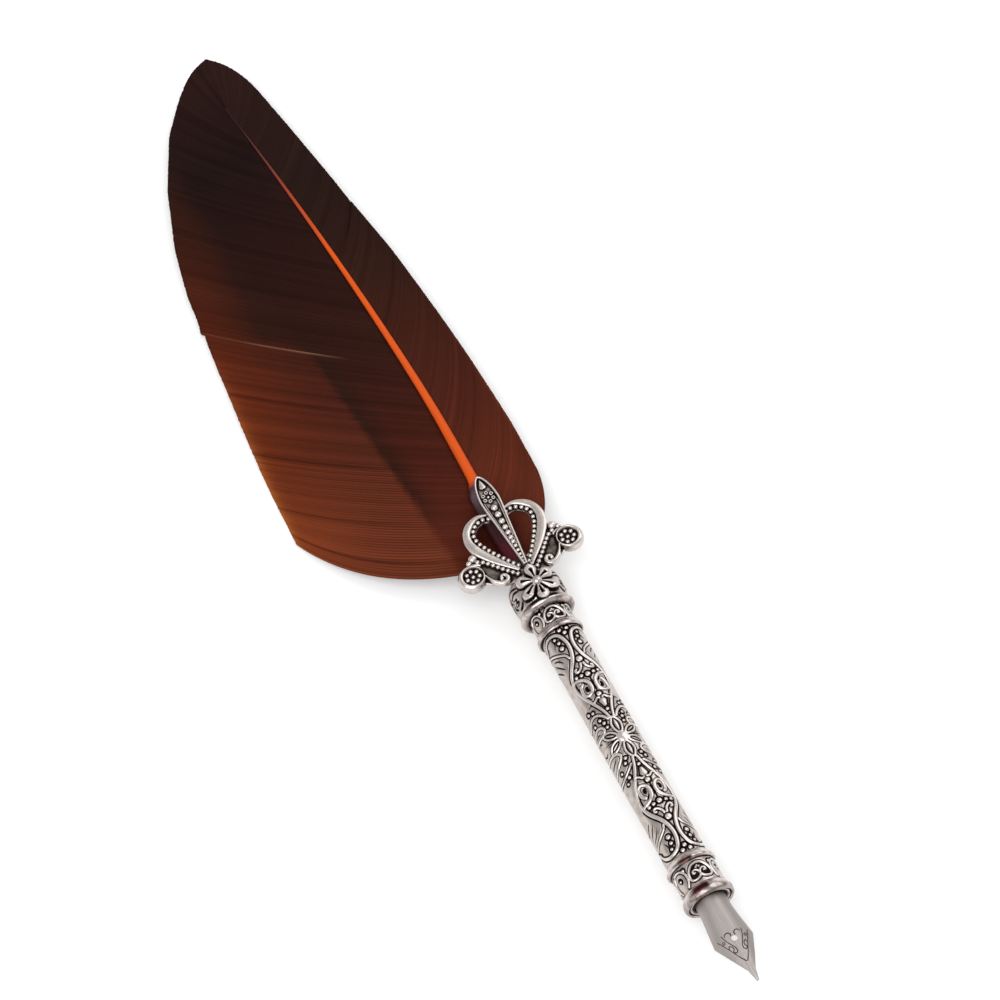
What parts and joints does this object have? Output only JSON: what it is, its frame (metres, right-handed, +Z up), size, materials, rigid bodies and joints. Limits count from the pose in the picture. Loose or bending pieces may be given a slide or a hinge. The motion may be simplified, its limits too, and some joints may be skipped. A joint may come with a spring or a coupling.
{
  "type": "quill pen",
  "caption": "Dip pen with a scroll-cast silver handle, crown socket and long dyed feather; nib, nib holder and quill each draw out of the handle.",
  "frame": {"origin": "on the handle's axis, in the middle of the mouth ring's cylindrical land", "axes": "+Y along the pen from the nib towards the feather's tip, +Z up through the front of the crown with the pen on its back, +X towards the narrow vane"},
  "size_m": [0.0559, 0.285, 0.015],
  "materials": {
    "antique_silver": "cast zinc alloy with an antique silver plating, dark in its recesses",
    "polished_silver": "polished silver plating",
    "nib_steel": "satin steel with fine engraved lines",
    "brass": "plain turned brass",
    "dark_steel": "blackened steel",
    "red_fibre": "pressed fibre",
    "quill_horn": "smooth horn of a dyed quill",
    "dyed_vane": "dyed feather barbs with a soft sheen"
  },
  "bodies": {
    "handle": {"nib_bush": "brass", "mouth_ring": "polished_silver", "lower_heart_band": "antique_silver", "lower_neck_ring": "polished_silver", "barrel_liner": "brass", "barrel_shell": "antique_silver", "upper_neck_ring": "polished_silver", "upper_heart_band": "antique_silver", "flange_ring": "polished_silver", "crown_stud": "brass", "crown_base": "antique_silver", "quill_socket": "dark_steel", "crown_frame": "antique_silver", "spear_leaf": "antique_silver", "rosette": "antique_silver", "rosette_rivet": "antique_silver"},
    "nib_unit": {"nib_holder": "polished_silver", "holder_washer": "red_fibre", "nib_core": "dark_steel"},
    "nib": {"nib": "nib_steel"},
    "feather": {"feather_quill": "quill_horn", "broad_vane_lower": "dyed_vane", "broad_vane_upper": "dyed_vane", "narrow_vane": "dyed_vane"}
  },
  "joints": [
    {"name": "holder_pull", "type": "slide", "parent": "handle", "child": "nib_unit", "axis": [0, -1, 0], "range_m": [0, 0.012]},
    {"name": "nib_pull", "type": "slide", "parent": "nib_unit", "child": "nib", "axis": [0, -1, 0], "range_m": [0, 0.01]},
    {"name": "feather_pull", "type": "slide", "parent": "handle", "child": "feather", "axis": [0, 1, 0], "range_m": [0, 0.02]}
  ]
}
